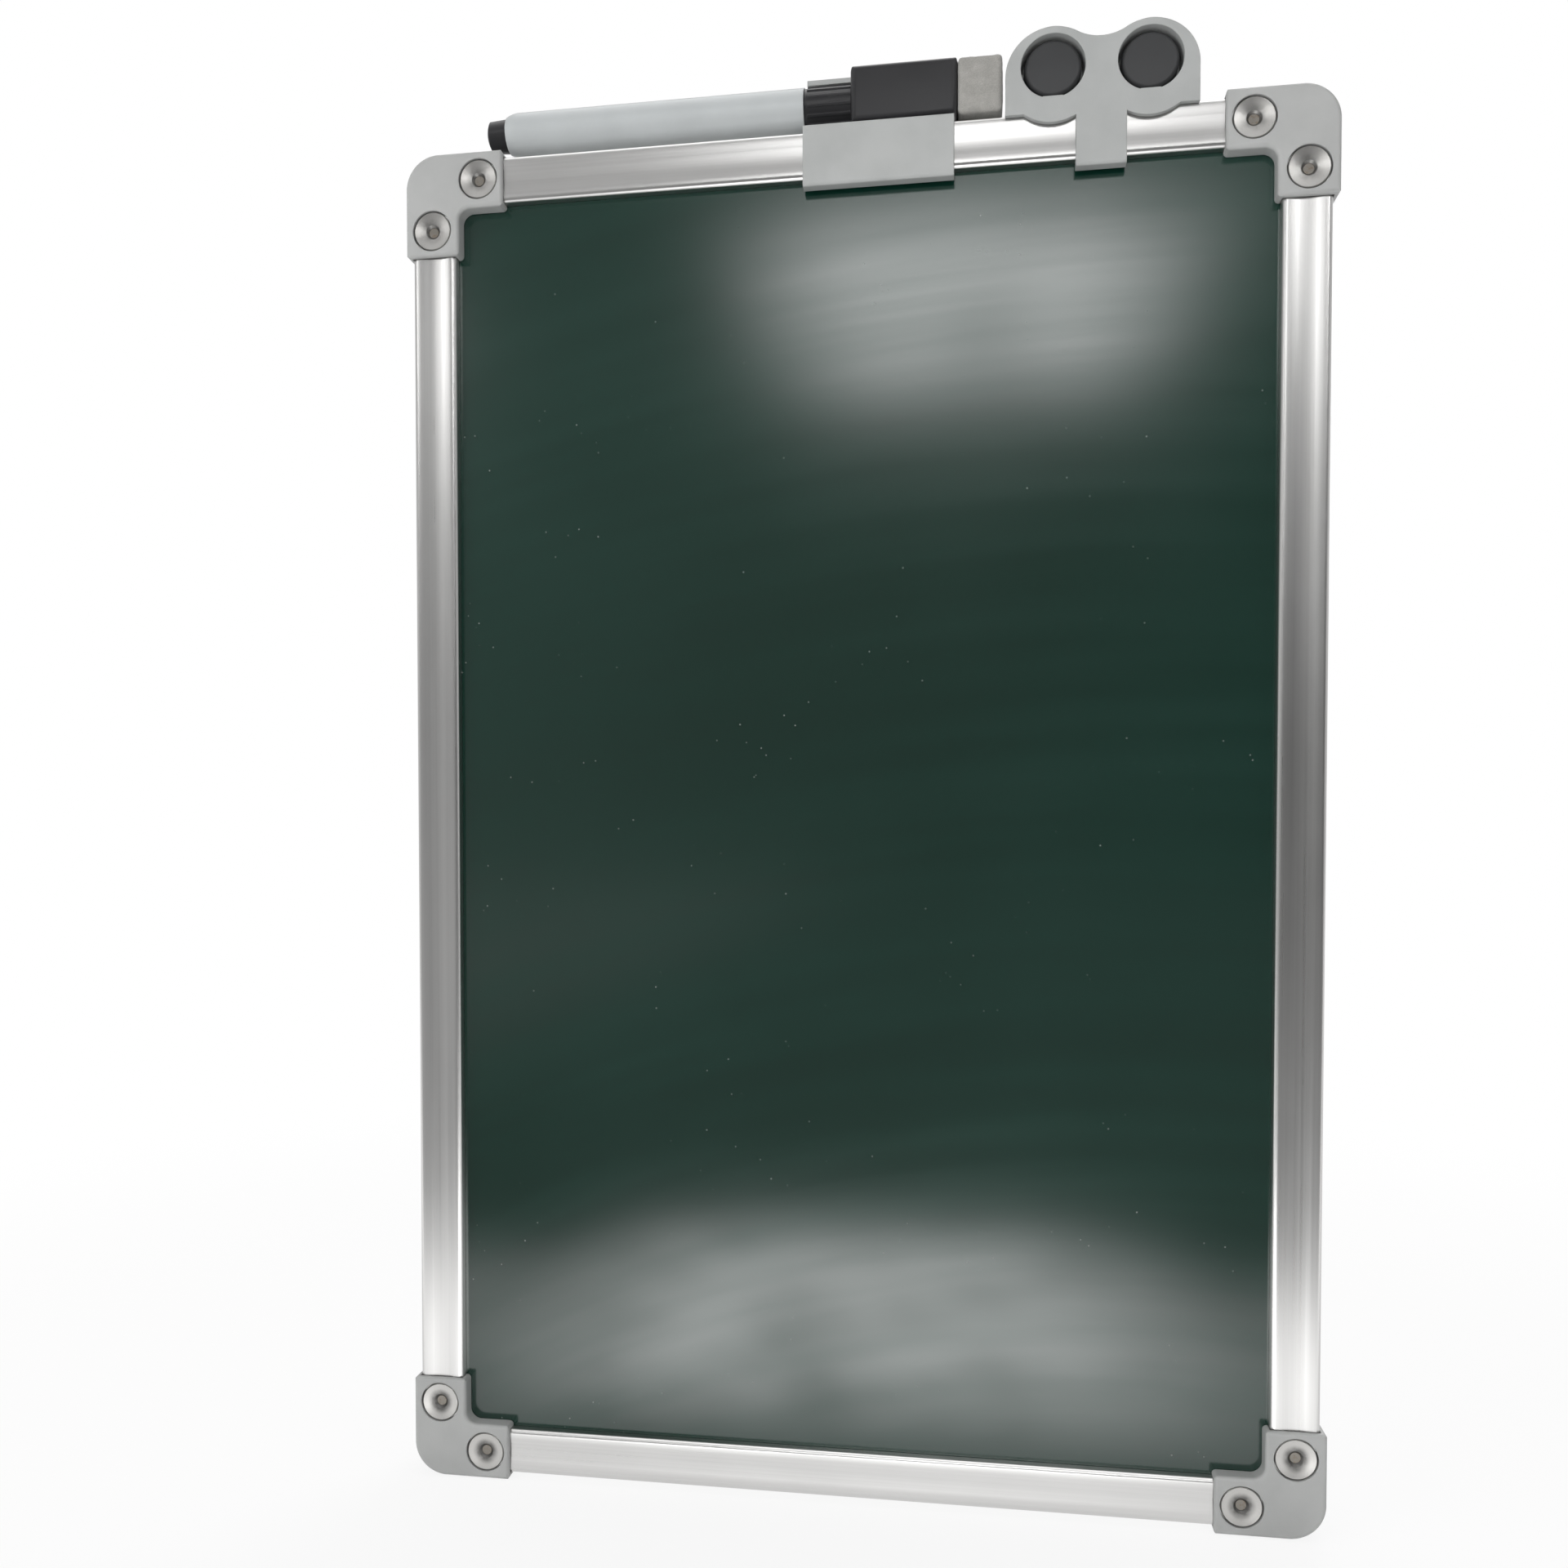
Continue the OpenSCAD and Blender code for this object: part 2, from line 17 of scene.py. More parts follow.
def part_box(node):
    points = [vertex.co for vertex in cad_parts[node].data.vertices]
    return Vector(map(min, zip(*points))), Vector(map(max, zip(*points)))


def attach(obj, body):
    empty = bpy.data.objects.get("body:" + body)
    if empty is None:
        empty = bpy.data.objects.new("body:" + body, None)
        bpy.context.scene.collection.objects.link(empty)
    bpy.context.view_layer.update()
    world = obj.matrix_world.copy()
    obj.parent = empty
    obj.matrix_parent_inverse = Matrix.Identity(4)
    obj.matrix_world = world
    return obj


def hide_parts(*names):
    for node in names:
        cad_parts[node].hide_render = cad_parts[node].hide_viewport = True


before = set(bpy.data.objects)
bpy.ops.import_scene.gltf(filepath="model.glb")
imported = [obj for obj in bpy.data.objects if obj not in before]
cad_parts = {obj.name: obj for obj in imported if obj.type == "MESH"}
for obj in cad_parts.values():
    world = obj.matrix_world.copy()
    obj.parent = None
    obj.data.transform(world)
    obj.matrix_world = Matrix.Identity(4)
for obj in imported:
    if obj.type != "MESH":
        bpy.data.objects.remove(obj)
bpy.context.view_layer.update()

log = logging.getLogger("memo_board")

Colour = tuple[float, float, float]
Key = Union[int, str]
Inputs = Mapping[Key, Any]

MM = 0.001
WHITE = (1.0, 1.0, 1.0, 1.0)

# Samples of a rounded edge, and the lean of its normal from which it shows and shows in full
EDGE_SAMPLES = 6
EDGE_LEAN = (0.01, 0.22)

# Places of a Mix node's colour sockets
MIX_SHARE, MIX_FIRST, MIX_SECOND, MIX_RESULT = 0, 6, 7, 2


class Axis(Enum):
    """A direction of the shared frame, by its place in a vector."""

    X = 0
    Y = 1
    Z = 2

    def drawn(self, along: float, across: float) -> tuple[float, float, float]:
        """Returns the scale on each axis of a pattern that is drawn out along this one."""
        return tuple(along if axis is self else across for axis in Axis)


@dataclass(frozen=True)
class Grain:
    """Noise of one size.

    Attributes:
        scale: Patches for each metre, as one number or one for each axis.
        detail: Number of finer octaves.
        rough: Weight of the finer octaves.
        band: Levels between which the noise is eased from 0 to 1, or none for plain noise.
    """

    scale: Union[float, tuple[float, float, float]]
    detail: float = 2.0
    rough: float = 0.5
    band: tuple[float, float] | None = None


@dataclass(frozen=True)
class Scratches:
    """A set of thin scattered scratches that run one way.

    Attributes:
        turn: Angles of their direction.
        length, width: Size of one scratch.
        above: Noise level above which a scratch shows.
        ease: How far above that level it shows in full.
    """

    turn: tuple[float, float, float]
    length: float
    width: float
    above: float
    ease: float = 0.05


def linear(level: int) -> float:
    """Turns a level from 0 to 255 on a display into a linear one, by the sRGB curve."""
    share = level / 255
    return share / 12.92 if share <= 0.04045 else ((share + 0.055) / 1.055) ** 2.4


def display(red: int, green: int, blue: int) -> Colour:
    """Turns a colour as seen on a display into the linear colour that shaders use."""
    return linear(red), linear(green), linear(blue)


def shade_of(colour: Colour, share: float) -> Colour:
    """Returns a lighter or darker shade of a colour."""
    return tuple(min(1.0, level * share) for level in colour)


class Sock:
    """An output socket whose arithmetic adds Math nodes."""

    def __init__(self, graph: Graph, socket: bpy.types.NodeSocket) -> None:
        """Wraps a socket of a graph's node."""
        self.graph = graph
        self.socket = socket

    def math(self, operation: str, *values: Value) -> Sock:
        """Adds a Math node with numbers or sockets as its inputs."""
        return self.graph.value("ShaderNodeMath", 0, dict(enumerate(values)), operation=operation)

    def __add__(self, other: Value) -> Sock:
        """Adds a number or socket."""
        return self.math("ADD", self, other)

    def __radd__(self, other: float) -> Sock:
        """Adds to a number."""
        return self.math("ADD", other, self)

    def __sub__(self, other: Value) -> Sock:
        """Takes away a number or socket."""
        return self.math("SUBTRACT", self, other)

    def __rsub__(self, other: float) -> Sock:
        """Takes this socket from a number."""
        return self.math("SUBTRACT", other, self)

    def __mul__(self, other: Value) -> Sock:
        """Multiplies by a number or socket."""
        return self.math("MULTIPLY", self, other)

    def __truediv__(self, other: Value) -> Sock:
        """Divides by a number or socket."""
        return self.math("DIVIDE", self, other)

    def __abs__(self) -> Sock:
        """Drops the sign."""
        return self.math("ABSOLUTE", self)

    def least(self, other: Value) -> Sock:
        """Takes the smaller of two values."""
        return self.math("MINIMUM", self, other)

    def most(self, other: Value) -> Sock:
        """Takes the larger of two values."""
        return self.math("MAXIMUM", self, other)

    def root(self) -> Sock:
        """Takes the square root."""
        return self.math("SQRT", self)

    def wave(self) -> Sock:
        """Takes the sine."""
        return self.math("SINE", self)

    def step(self, low: float, high: float) -> Sock:
        """Eases from 0 at the low value to 1 at the high one."""
        sockets = {"Value": self, "From Min": low, "From Max": high}
        return self.graph.value("ShaderNodeMapRange", 0, sockets, interpolation_type="SMOOTHSTEP")


Value = Union[Sock, float]
Paint = Union[Sock, Colour]


def span(first: Sock, second: Sock) -> Sock:
    """Returns the length of a flat vector from its two parts."""
    return (first * first + second * second).root()


class Graph:
    """The node tree of one material or of the world."""

    def __init__(self, owner: Union[bpy.types.Material, bpy.types.World]) -> None:
        """Empties the owner's tree and adds its output.

        Args:
            owner: The material or world.
        """
        owner.use_nodes = True
        self.owner = owner
        self.tree = owner.node_tree
        self.tree.nodes.clear()
        is_world = isinstance(owner, bpy.types.World)
        self.out = self.tree.nodes.new("ShaderNodeOutputWorld" if is_world else "ShaderNodeOutputMaterial")

    def node(self, kind: str, sockets: Inputs | None = None, **settings: Any) -> bpy.types.Node:
        """Adds any node.

        Args:
            kind: The node's type.
            sockets: Values or links of its inputs, by name or place.
            settings: Its properties, set before its sockets.

        Returns:
            The node.
        """
        made = self.tree.nodes.new(kind)
        for name, setting in settings.items():
            setattr(made, name, setting)
        for name, value in (sockets or {}).items():
            if isinstance(value, Sock):
                self.tree.links.new(value.socket, made.inputs[name])
            else:
                made.inputs[name].default_value = value
        return made

    def value(self, kind: str, output: Key, sockets: Inputs | None = None, **settings: Any) -> Sock:
        """Adds a node as node() does, and wraps one of its outputs by name or place."""
        return Sock(self, self.node(kind, sockets, **settings).outputs[output])

    def finish(self, shader: Sock) -> None:
        """Links a shader to the output."""
        self.tree.links.new(shader.socket, self.out.inputs["Surface"])

    def coords(self) -> Sock:
        """Returns the Object coordinates, in metres."""
        return self.value("ShaderNodeTexCoord", "Object")

    def turned(self, place: Sock, turn: Sequence[float]) -> Sock:
        """Turns coordinates by angles in radians."""
        return self.value("ShaderNodeMapping", 0, {"Vector": place, "Rotation": turn})

    def split(self, place: Sock) -> tuple[Sock, Sock, Sock]:
        """Returns the three parts of a vector."""
        made = self.node("ShaderNodeSeparateXYZ", {0: place})
        return tuple(Sock(self, out) for out in made.outputs)

    def joined(self, x: Sock, y: Sock) -> Sock:
        """Returns a flat vector from its two parts."""
        return self.value("ShaderNodeCombineXYZ", 0, {0: x, 1: y})

    def rays(self, *kinds: str) -> list[Sock]:
        """Returns 1 on each of the named kinds of ray and 0 on others."""
        path = self.node("ShaderNodeLightPath")
        return [Sock(self, path.outputs[f"Is {kind} Ray"]) for kind in kinds]

    def grain(self, place: Sock, kind: Grain) -> Sock:
        """Adds noise.

        Args:
            place: Coordinates in metres.
            kind: The noise's size and levels.

        Returns:
            The noise, from 0 to 1.
        """
        scale = kind.scale
        if isinstance(scale, tuple):
            place = self.value("ShaderNodeMapping", 0, {"Vector": place, "Scale": scale})
            scale = 1.0
        sockets = {"Vector": place, "Scale": scale, "Detail": kind.detail, "Roughness": kind.rough}
        level = self.value("ShaderNodeTexNoise", 0, sockets)
        return level if kind.band is None else level.step(*kind.band)

    def cells(self, place: Sock, scale: float) -> Sock:
        """Returns the distance to the nearest of scattered points, of which each metre has a number."""
        return self.value("ShaderNodeTexVoronoi", "Distance", {"Vector": place, "Scale": scale})

    def hairlines(self, place: Sock, kind: Scratches) -> Sock:
        """Adds scratches.

        Args:
            place: Coordinates in metres.
            kind: The scratches' direction, size and number.

        Returns:
            1 on a scratch and 0 beside it.
        """
        scale = (1 / kind.length, 1 / kind.width, 1 / kind.width)
        band = (kind.above, kind.above + kind.ease)
        return self.grain(self.turned(place, kind.turn), Grain(scale, detail=1.0, band=band))

    def mix(self, share: Value, first: Paint, second: Paint) -> Sock:
        """Mixes two colours.

        Args:
            share: How much of the second one.
            first, second: Colours or sockets.

        Returns:
            The mixed colour.
        """
        first, second = (paint if isinstance(paint, Sock) else (*paint, 1.0) for paint in (first, second))
        sockets = {MIX_SHARE: share, MIX_FIRST: first, MIX_SECOND: second}
        return self.value("ShaderNodeMix", MIX_RESULT, sockets, data_type="RGBA")

    def soft_edge(self, radius: float) -> Sock:
        """Returns the normal with hard edges rounded by a radius in metres."""
        return self.value("ShaderNodeBevel", 0, {"Radius": radius}, samples=EDGE_SAMPLES)

    def edge_share(self, soft: Sock) -> Sock:
        """Finds edges by the lean of the rounded normal.

        Args:
            soft: The rounded normal.

        Returns:
            0 on flat faces and towards 1 along edges.
        """
        true = self.value("ShaderNodeNewGeometry", "True Normal")
        dot = self.value("ShaderNodeVectorMath", "Value", {0: soft, 1: true}, operation="DOT_PRODUCT")
        return (1 - dot).step(*EDGE_LEAN)

    def relief(self, height: Sock, depth: float, normal: Sock | None = None) -> Sock:
        """Turns heights from 0 to 1 into a normal.

        Args:
            height: The height over the surface.
            depth: What a height of 1 is in metres.
            normal: The normal that the relief is added to.

        Returns:
            The bumped normal.
        """
        sockets: dict[str, Any] = {"Height": height, "Distance": depth, "Strength": 1.0}
        if normal is not None:
            sockets["Normal"] = normal
        return self.value("ShaderNodeBump", 0, sockets)

    def principled(self, sockets: Inputs) -> None:
        """Adds the surface shader, with values or links of its sockets, and links it to the output."""
        self.finish(self.value("ShaderNodeBsdfPrincipled", 0, sockets))

    def glow(self, colour: Union[Sock, Sequence[float]], strength: float = 1.0) -> Sock:
        """Returns a glowing shader."""
        return self.value("ShaderNodeEmission", 0, {"Color": colour, "Strength": strength})

    def blend(self, share: Sock, first: Sock, second: Sock) -> Sock:
        """Mixes two shaders, by the share of the second one."""
        return self.value("ShaderNodeMixShader", 0, {0: share, 1: first, 2: second})


@dataclass(frozen=True)
class Finish:
    """A surface finish that makes its own material."""

    name: str

    def shade(self, g: Graph) -> None:
        """Adds the finish to a graph."""
        raise NotImplementedError

    def material(self) -> bpy.types.Material:
        """Makes the material.

        Returns:
            The finished material.
        """
        graph = Graph(bpy.data.materials.new(self.name))
        self.shade(graph)
        return graph.owner


@dataclass(frozen=True)
class CoatedSteel(Finish):
    """Baked writing coat on sheet steel, wiped in wide arcs about the writer's elbow."""

    colour: Colour
    haze: Colour
    roughness: float
    haze_share: float
    ior: float = 1.5
    lacquer: float = 0.95
    lacquer_wear: float = 0.25
    elbow: tuple[float, float] = (0.06, -0.22)
    wipe_width: float = 11 * MM
    wipe_turn: float = 1.4
    arcs: Grain = Grain(1.0, 4.0, 0.6, band=(0.3, 0.75))
    arc_share: float = 0.45
    arc_dull: float = 0.06
    cloud: Grain = Grain(8.0, 3.0, band=(0.3, 0.7))
    cloud_dull: float = 0.05
    dust: Colour = (0.3, 0.31, 0.3)
    lint_pitch: float = 2.6 * MM
    lint_band: tuple[float, float] = (0.04, 0.09)
    lint_drift: Grain = Grain(45.0, band=(0.55, 0.65))
    lint_share: float = 0.6
    lint_dull: float = 0.3
    peel: Grain = Grain(1 / (1.1 * MM), 1.0)
    peel_depth: float = 0.004 * MM

    def shade(self, g: Graph) -> None:
        """Adds wiped arcs, slow clouding, lint and the coat's faint orange peel.

        Args:
            g: The material's graph.
        """
        place = g.coords()
        x, _, z = g.split(place)
        dx, dz = x - self.elbow[0], z - self.elbow[1]
        swept = g.joined(span(dx, dz) / self.wipe_width, dx / dz * self.wipe_turn)
        arcs = g.grain(swept, self.arcs)
        cloud = g.grain(place, self.cloud)
        wiped = arcs * self.arc_share + cloud * (1 - self.arc_share)
        specks = 1 - g.cells(place, 1 / self.lint_pitch).step(*self.lint_band)
        lint = specks * g.grain(place, self.lint_drift)
        coat = g.mix(wiped * self.haze_share, self.colour, self.haze)
        dull = arcs * self.arc_dull + cloud * self.cloud_dull + lint * self.lint_dull
        g.principled({
            "Base Color": g.mix(lint * self.lint_share, coat, self.dust),
            "Roughness": self.roughness + dull,
            "Normal": g.relief(g.grain(place, self.peel), self.peel_depth),
            "IOR": self.ior,
            "Coat Weight": self.lacquer - arcs * self.lacquer_wear,
            "Coat Roughness": self.roughness,
        })


@dataclass(frozen=True)
class Extrusion(Finish):
    """Satin anodised aluminium with the die's lines along its length.

    Attributes:
        broad_lines, fine_lines, clouds: Patches for each metre along and across the rail.
    """

    along: Axis
    colour: Colour = (0.73, 0.725, 0.715)
    dark: float = 0.92
    light: float = 1.05
    roughness: float = 0.21
    broad_lines: tuple[float, float] = (2.5, 1400.0)
    fine_lines: tuple[float, float] = (9.0, 6500.0)
    clouds: tuple[float, float] = (18.0, 60.0)
    line_detail: float = 3.0
    line_rough: float = 0.6
    broad_share: float = 0.5
    fine_share: float = 0.3
    cloud_share: float = 0.4
    tone_band: tuple[float, float] = (0.3, 0.85)
    broad_dull: float = 0.09
    cloud_dull: float = 0.08
    line_depth: float = 0.0022 * MM
    fine_rise: float = 0.4
    nicks: Scratches = Scratches((0.3, 0.8, 0.2), 3 * MM, 0.09 * MM, 0.76)
    nick_share: float = 0.25
    nick_light: float = 1.3
    nick_drop: float = 0.8
    edge_radius: float = 0.18 * MM

    def shade(self, g: Graph) -> None:
        """Adds broad and fine die lines, slow clouding and a few nicks.

        Args:
            g: The material's graph.
        """
        place = g.coords()
        broad, fine, cloud = (
            g.grain(place, Grain(self.along.drawn(*pitch), self.line_detail, self.line_rough))
            for pitch in (self.broad_lines, self.fine_lines, self.clouds)
        )
        nicks = g.hairlines(place, self.nicks)
        tone = broad * self.broad_share + fine * self.fine_share + cloud * self.cloud_share
        dark, light = shade_of(self.colour, self.dark), shade_of(self.colour, self.light)
        colour = g.mix(tone.step(*self.tone_band), dark, light)
        height = broad * (1 - self.fine_rise) + fine * self.fine_rise - nicks * self.nick_drop
        g.principled({
            "Base Color": g.mix(nicks * self.nick_share, colour, shade_of(self.colour, self.nick_light)),
            "Metallic": 1.0,
            "Roughness": self.roughness + broad * self.broad_dull + cloud * self.cloud_dull,
            "Normal": g.relief(height, self.line_depth, g.soft_edge(self.edge_radius)),
        })


@dataclass(frozen=True)
class MouldedPlastic(Finish):
    """Injection-moulded plastic with a spark-eroded grain and slightly polished edges.

    Attributes:
        flow: The direction of flow lines, where they show.
        flow_pitch: Flow lines for each metre along and across them.
    """

    colour: Colour
    roughness: float
    ior: float = 1.49
    dark: float = 0.93
    light: float = 1.07
    mottle: Grain = Grain(85.0, 3.0, band=(0.25, 0.75))
    mottle_dull: float = 0.1
    flow: Axis | None = None
    flow_pitch: tuple[float, float] = (14.0, 420.0)
    pits: Grain = Grain(1 / (0.28 * MM))
    pit_depth: float = 0.011 * MM
    edge_radius: float = 0.35 * MM
    # Tone and share of the painted highlight along the edges
    edge_highlight_tone: float = 1.18
    edge_highlight_share: float = 0.6
    edge_polish: float = 0.08
    scuffs: tuple[Scratches, ...] = (
        Scratches((0.2, 0.7, 0.4), 9 * MM, 0.1 * MM, 0.7),
        Scratches((0.5, -0.6, 0.1), 6 * MM, 0.12 * MM, 0.72),
    )
    scuff_wear: float = 0.3
    scuff_dull: float = 0.08

    def shade(self, g: Graph) -> None:
        """Adds grain, slow mottling, flow lines where they are wanted, a painted highlight and polish
        along the edges, and scuffs.

        Args:
            g: The material's graph.
        """
        place = g.coords()
        soft = g.soft_edge(self.edge_radius)
        edge = g.edge_share(soft)
        mottle = g.grain(place, self.mottle)
        if self.flow is not None:
            mottle = (mottle + g.grain(place, Grain(self.flow.drawn(*self.flow_pitch)))) / 2
        scuffs = reduce(Sock.most, [g.hairlines(place, scratches) for scratches in self.scuffs])
        body = g.mix(mottle, shade_of(self.colour, self.dark), shade_of(self.colour, self.light))
        # The lighter edges are a painted highlight; the scuffs are real wear
        edge_highlight_and_scuffs = (edge * self.edge_highlight_share + scuffs * self.scuff_wear).least(1.0)
        dull = (mottle - 0.5) * self.mottle_dull - edge * self.edge_polish + scuffs * self.scuff_dull
        g.principled({
            "Base Color": g.mix(edge_highlight_and_scuffs, body, shade_of(self.colour, self.edge_highlight_tone)),
            "Roughness": self.roughness + dull,
            "IOR": self.ior,
            "Normal": g.relief(g.grain(place, self.pits), self.pit_depth, soft),
        })


@dataclass(frozen=True)
class RivetMetal(Finish):
    """Turned aluminium flange of a blind rivet, ringed about the nearest rivet's axis.

    Attributes:
        centres: Axes of a corner's rivets, out from the board's middle and up or down from it.
        middle: Height of the board's middle.
        funnel, dish, rim: Distances from the axis at which each zone fades.
        low_from: Distances below the middle between which the painted shade in the dish deepens.
    """

    centres: tuple[tuple[float, float], ...]
    middle: float
    colour: Colour = (0.62, 0.61, 0.59)
    roughness: float = 0.27
    ring_pitch: float = 0.16 * MM
    funnel: tuple[float, float] = (1.44 * MM, 1.84 * MM)
    # Share of painted shade at the bore's mouth
    funnel_painted_shade: float = 0.45
    funnel_dull: float = 0.12
    dish: tuple[float, float] = (1.6 * MM, 3.225 * MM)
    rim: tuple[float, float] = (3.784 * MM, 4.3 * MM)
    # Share of painted shade at the flange's rim, beside the recess wall
    rim_painted_shade: float = 0.12
    dish_dirt_and_shade: Grain = Grain(700.0, 3.0, band=(0.25, 0.7))
    grime_share: float = 0.4
    # Tone that the grime and the painted shade darken to, the painted shade over the whole dish, and the
    # extra painted shade on the lower rivets
    dirt_and_shade_tone: float = 0.28
    dish_shade: float = 0.15
    low_dish_shade: float = 0.55
    low_from: tuple[float, float] = (0.0, 0.1)
    dents: Grain = Grain(2200.0, 3.0)
    dent_band: tuple[float, float] = (0.55, 0.8)
    dent_share: float = 0.25
    dent_tone: float = 0.7
    dent_dull: float = 0.12
    relief_depth: float = 0.006 * MM
    edge_radius: float = 0.12 * MM

    def shade(self, g: Graph) -> None:
        """Adds turning rings, a duller mouth in painted shade, painted shade at the rim, grime and painted
        shade in the dish, and small dents.

        Args:
            g: The material's graph.
        """
        place = g.coords()
        x, _, z = g.split(place)
        out, up = abs(x), abs(z - self.middle)
        near = reduce(Sock.least, [span(out - across, up - along) for across, along in self.centres])
        rings = ((near * (2 * math.pi / self.ring_pitch)).wave() + 1) / 2
        # The bore's mouth and the flange's rim are darkened as painted shade
        funnel, dish = 1 - near.step(*self.funnel), 1 - near.step(*self.dish)
        dents = g.grain(place, self.dents)
        # The dish takes mottled grime plus painted shade, which is deeper on the lower rivets
        painted_dish_shade = (self.middle - z).step(*self.low_from) * self.low_dish_shade + self.dish_shade
        dish_dirt_and_shade = dish * (g.grain(place, self.dish_dirt_and_shade) * self.grime_share + painted_dish_shade)
        dark = funnel * self.funnel_painted_shade + near.step(*self.rim) * self.rim_painted_shade + dish_dirt_and_shade
        colour = g.mix(dark.least(1.0), self.colour, shade_of(self.colour, self.dirt_and_shade_tone))
        dented = dents.step(*self.dent_band) * self.dent_share
        g.principled({
            "Base Color": g.mix(dented, colour, shade_of(self.colour, self.dent_tone)),
            "Metallic": 1.0,
            "Roughness": self.roughness + dents * self.dent_dull + funnel * self.funnel_dull,
            "Normal": g.relief((rings + dents) / 2, self.relief_depth, g.soft_edge(self.edge_radius)),
        })


@dataclass(frozen=True)
class BrokenSteel(Finish):
    """Snapped end of a steel rivet pin, dull with a trace of rust."""

    colour: Colour = (0.3, 0.28, 0.25)
    metallic: float = 0.85
    roughness: float = 0.42
    torn: Grain = Grain(3500.0, 4.0, 0.65)
    torn_dull: float = 0.2
    torn_depth: float = 0.05 * MM
    rust: Colour = (0.24, 0.16, 0.1)
    rust_specks: Grain = Grain(1500.0, 3.0, band=(0.5, 0.7))
    rust_share: float = 0.6

    def shade(self, g: Graph) -> None:
        """Adds a torn surface and rust specks.

        Args:
            g: The material's graph.
        """
        place = g.coords()
        torn = g.grain(place, self.torn)
        specks = g.grain(place, self.rust_specks)
        g.principled({
            "Base Color": g.mix(specks * self.rust_share, self.colour, self.rust),
            "Metallic": self.metallic,
            "Roughness": self.roughness + torn * self.torn_dull,
            "Normal": g.relief(torn, self.torn_depth),
        })


@dataclass(frozen=True)
class PressedFelt(Finish):
    """Dense pressed felt of light and dark fibres.

    Attributes:
        lay: Directions that the fibres run in.
    """

    light: Colour = (0.52, 0.51, 0.48)
    dark: Colour = (0.31, 0.3, 0.28)
    roughness: float = 0.96
    sheen: float = 0.35
    sheen_roughness: float = 0.5
    lay: tuple[tuple[float, float, float], ...] = (
        (0.3, 0.35, 0.2), (0.1, 1.3, 0.5), (0.4, -0.8, 1.1), (-0.5, 2.2, 0.3),
    )
    strand: Grain = Grain((700.0, 6500.0, 6500.0), 2.0, 0.6)
    fibre_band: tuple[float, float] = (0.5, 0.78)
    fibre_share: float = 0.6
    mottle: Grain = Grain(420.0, 3.0, band=(0.3, 0.7))
    mottle_share: float = 0.35
    mottle_rise: float = 0.3
    lint_scale: float = 2600.0
    lint_band: tuple[float, float] = (0.1, 0.55)
    lint_share: float = 0.15
    nap_depth: float = 0.09 * MM

    def shade(self, g: Graph) -> None:
        """Adds matted fibres in several directions, fuzz and slow mottling.

        Args:
            g: The material's graph.
        """
        place = g.coords()
        strands = [g.grain(g.turned(place, turn), self.strand) for turn in self.lay]
        fibres = reduce(Sock.most, strands).step(*self.fibre_band)
        mottle = g.grain(place, self.mottle)
        lint = g.cells(place, self.lint_scale).step(*self.lint_band)
        tone = fibres * self.fibre_share + mottle * self.mottle_share + lint * self.lint_share
        nap = fibres * (1 - self.mottle_rise) + mottle * self.mottle_rise
        g.principled({
            "Base Color": g.mix(tone.least(1.0), self.dark, self.light),
            "Roughness": self.roughness,
            "Sheen Weight": self.sheen,
            "Sheen Roughness": self.sheen_roughness,
            "Normal": g.relief(nap, self.nap_depth),
        })


@dataclass(frozen=True)
class MattedFibre(Finish):
    """Bonded fibre rod, drawn out along the marker."""

    colour: Colour = (0.7, 0.7, 0.68)
    roughness: float = 0.85
    strands: Grain = Grain((300.0, 7000.0, 7000.0), 3.0)
    strand_share: float = 0.1
    strand_depth: float = 0.04 * MM
    stain: Colour = (0.05, 0.05, 0.06)
    soak: Grain = Grain(260.0, 3.0, band=(0.3, 0.7))
    soak_share: float = 0.3

    def shade(self, g: Graph) -> None:
        """Adds lengthwise fibres and soaked-in ink.

        Args:
            g: The material's graph.
        """
        place = g.coords()
        strands = g.grain(place, self.strands)
        stained = g.grain(place, self.soak) * self.soak_share + strands * self.strand_share
        g.principled({
            "Base Color": g.mix(stained, self.colour, self.stain),
            "Roughness": self.roughness,
            "Normal": g.relief(strands, self.strand_depth),
        })


@dataclass(frozen=True)
class SinteredFerrite(Finish):
    """Ground ferrite disc with fine pores."""

    colour: Colour = (0.05, 0.05, 0.052)
    light: float = 1.7
    metallic: float = 0.2
    roughness: float = 0.42
    ground: Grain = Grain((300.0, 3000.0, 5000.0))
    ground_turn: tuple[float, float, float] = (0.0, 0.4, 0.0)
    ground_share: float = 0.5
    ground_dull: float = 0.2
    pore_scale: float = 2400.0
    pore_band: tuple[float, float] = (0.05, 0.22)
    pore_share: float = 0.3
    pore_drop: float = 0.6
    relief_depth: float = 0.012 * MM
    edge_radius: float = 0.15 * MM

    def shade(self, g: Graph) -> None:
        """Adds grinding lines and pores.

        Args:
            g: The material's graph.
        """
        place = g.coords()
        pores = 1 - g.cells(place, self.pore_scale).step(*self.pore_band)
        ground = g.grain(g.turned(place, self.ground_turn), self.ground)
        tone = ground * self.ground_share + pores * self.pore_share
        height = ground - pores * self.pore_drop
        g.principled({
            "Base Color": g.mix(tone, self.colour, shade_of(self.colour, self.light)),
            "Roughness": self.roughness + ground * self.ground_dull,
            "Metallic": self.metallic,
            "Normal": g.relief(height, self.relief_depth, g.soft_edge(self.edge_radius)),
        })


